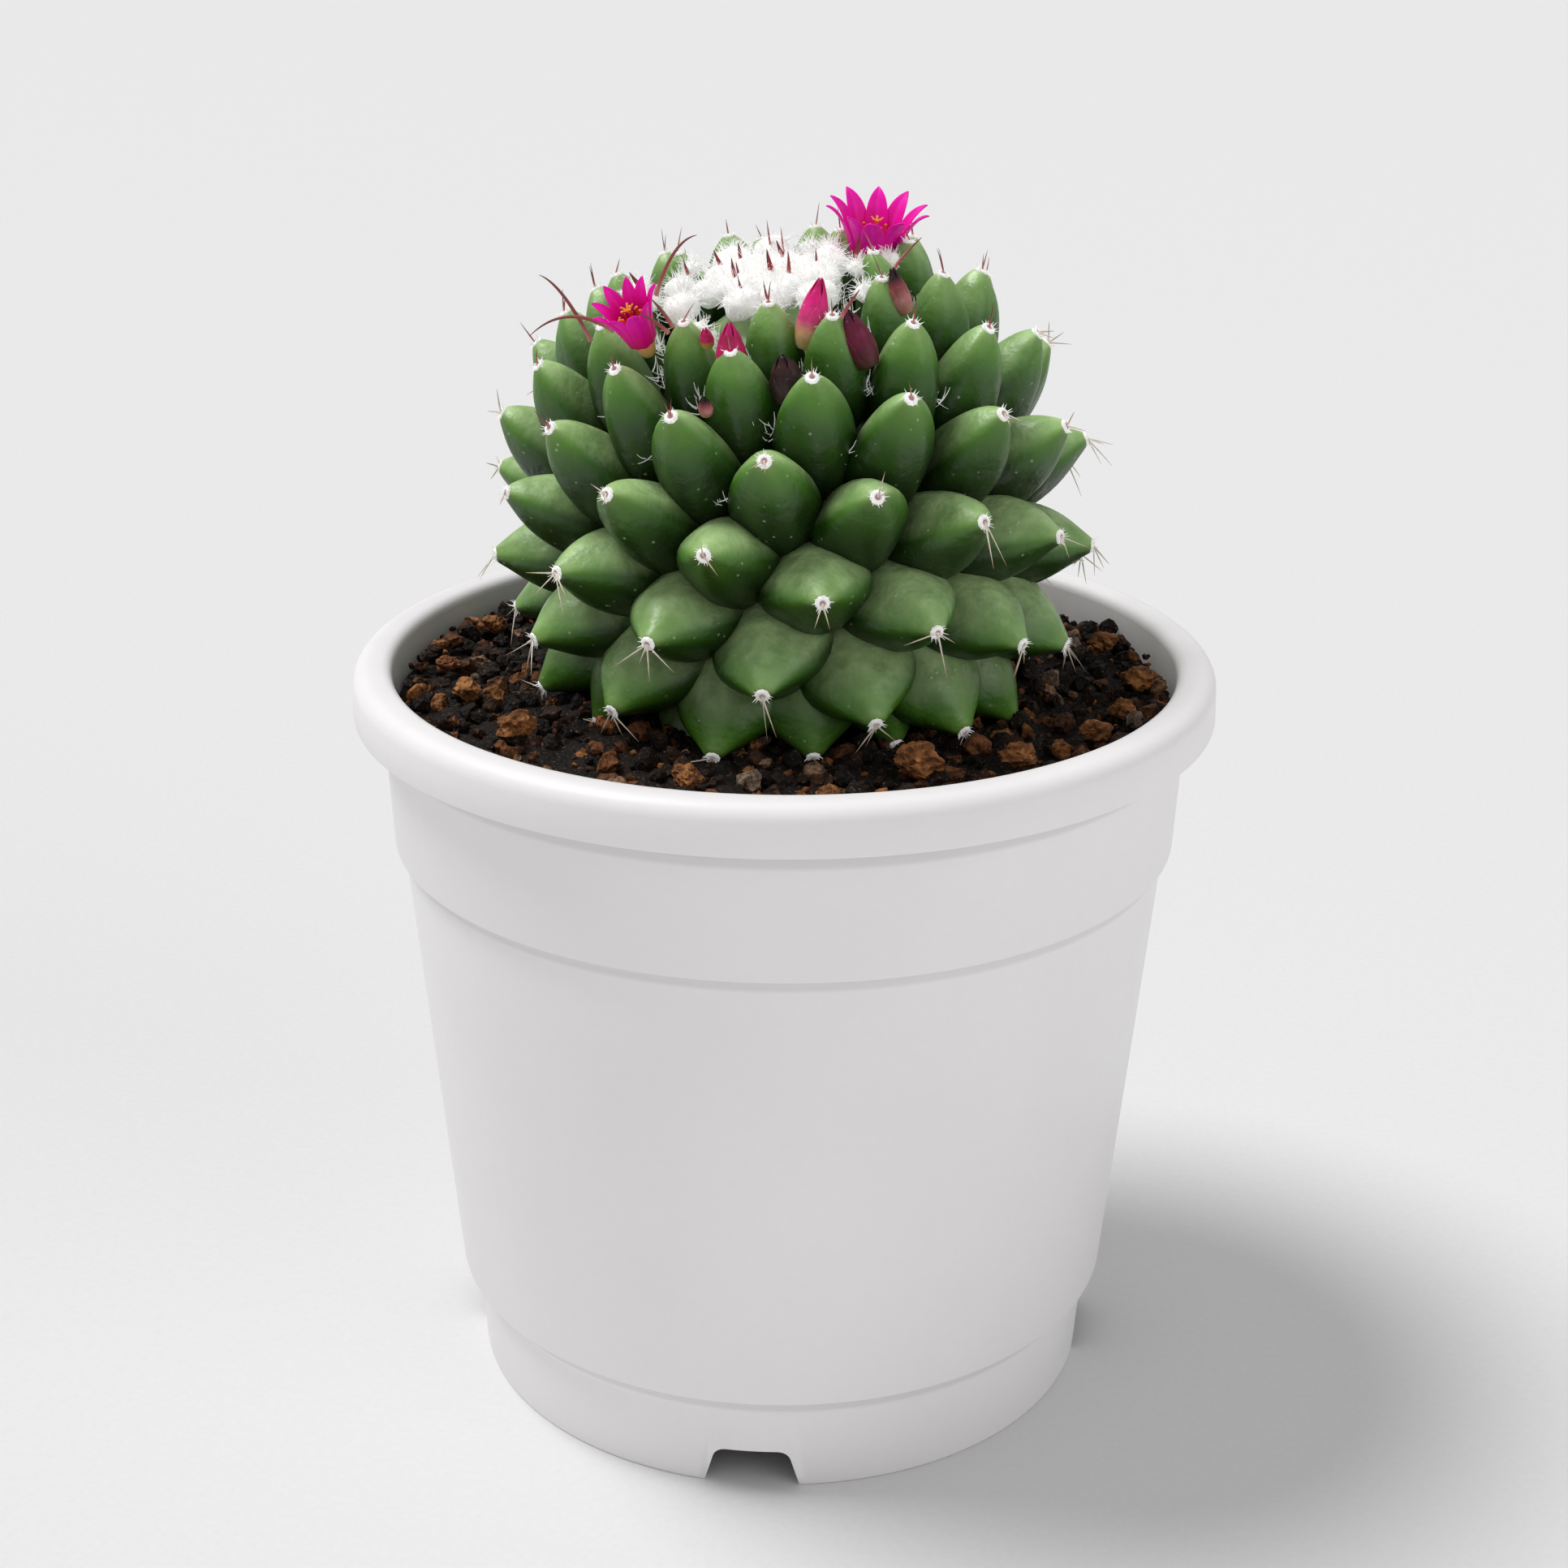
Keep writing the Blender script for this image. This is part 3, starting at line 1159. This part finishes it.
budFinishes = {look: makeBudFinish(look) for look in budColours}
for piece, facts in buds.items():
    makeBud(piece, *facts, budFinishes[facts[5]])
print("buds ready")


# the long red spines

# azimuth, radius and height of the root, then heading, reach, lift and how far it arches
longSpines = [
    (-53, 26.2, 32.6, -113, 6.3, 8.6, 3.4), (-47, 24.1, 33.8, -90, 11.1, 0.4, 4.6),
    (-53, 15.9, 35.9, 119, 6.8, 6.5, 3.5), (68, 18.7, 34.9, 131, 5.8, 3.4, 0.6),
    (-22, 24.1, 35.5, -80, 2.2, 4, 0.6), (-23, 24.8, 35, -47, 4, 3.6, 0.8),
    (29, 24.7, 34.5, 103, 2.7, 3.1, 0.2),
]

longSpine = {"radius": 0.26, "sunk": 0.2, "steps": 23, "ripe": 0.94}


def makeLongSpines(horn):
    for number, (azimuth, radius, height, heading, reach, lift, arch) in enumerate(longSpines, 1):
        root = polar(azimuth, radius + longSpine["sunk"], height)
        over = polar(heading, reach, lift)
        middle = root + over * 0.5 + Vector((0, 0, arch))
        line = bpy.data.curves.new("spineLine", "CURVE")
        line.dimensions = "3D"
        line.bevel_depth = longSpine["radius"]
        line.bevel_resolution = 3
        line.use_fill_caps = True
        spline = line.splines.new("POLY")
        spline.points.add(longSpine["steps"])
        for k, point in enumerate(spline.points):
            share = k / longSpine["steps"]
            spot = root * (1 - share) ** 2 + middle * 2 * share * (1 - share) + (root + over) * share ** 2
            point.co = (*spot, 1)
            point.radius = 1.0 - 0.86 * share ** 2.2 + 0.35 * math.exp(-share * 26)
        obj = bpy.data.objects.new(f"longSpine{number}", line)
        bpy.context.scene.collection.objects.link(obj)
        only(obj)
        bpy.ops.object.convert(target="MESH")
        spine = added(f"longSpine{number}")
        end = root + over
        full = (end - root).length
        marked(spine, "along", lambda co: min(1, (co - root).length / full))
        marked(spine, "ripe", longSpine["ripe"])
        spine.data.transform(standing)
        finished(smooth(spine, 60), "spine", horn, f"long_spine_{number}")
    print("long spines ready")


makeLongSpines(horn)
